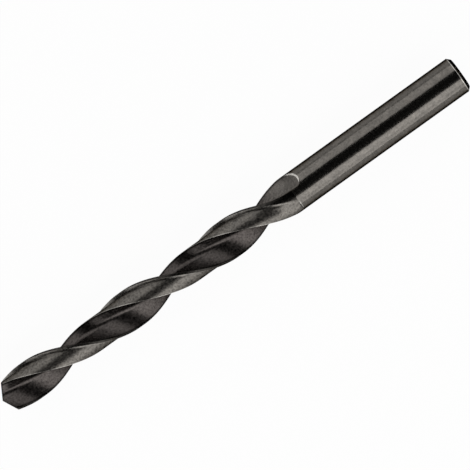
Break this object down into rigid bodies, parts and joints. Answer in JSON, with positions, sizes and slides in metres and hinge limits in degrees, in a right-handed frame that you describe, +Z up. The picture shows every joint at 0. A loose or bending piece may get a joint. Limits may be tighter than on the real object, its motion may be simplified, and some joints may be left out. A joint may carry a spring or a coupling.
{
  "type": "twist drill bit",
  "caption": "Straight-shank twist drill bit for metal, with right-hand helical flutes, a narrow margin on each land and a ground point.",
  "frame": {"origin": "on the ground under the middle of the drill, which lies on its side", "axes": "+X along the drill's axis from the point to the shank end, +Z up, +Y across"},
  "size_m": [0.125, 0.009, 0.009],
  "materials": {
    "black_oxide_steel": "black oxide, satin"
  },
  "bodies": {
    "root": {"drill_bit": "black_oxide_steel"}
  },
  "joints": []
}
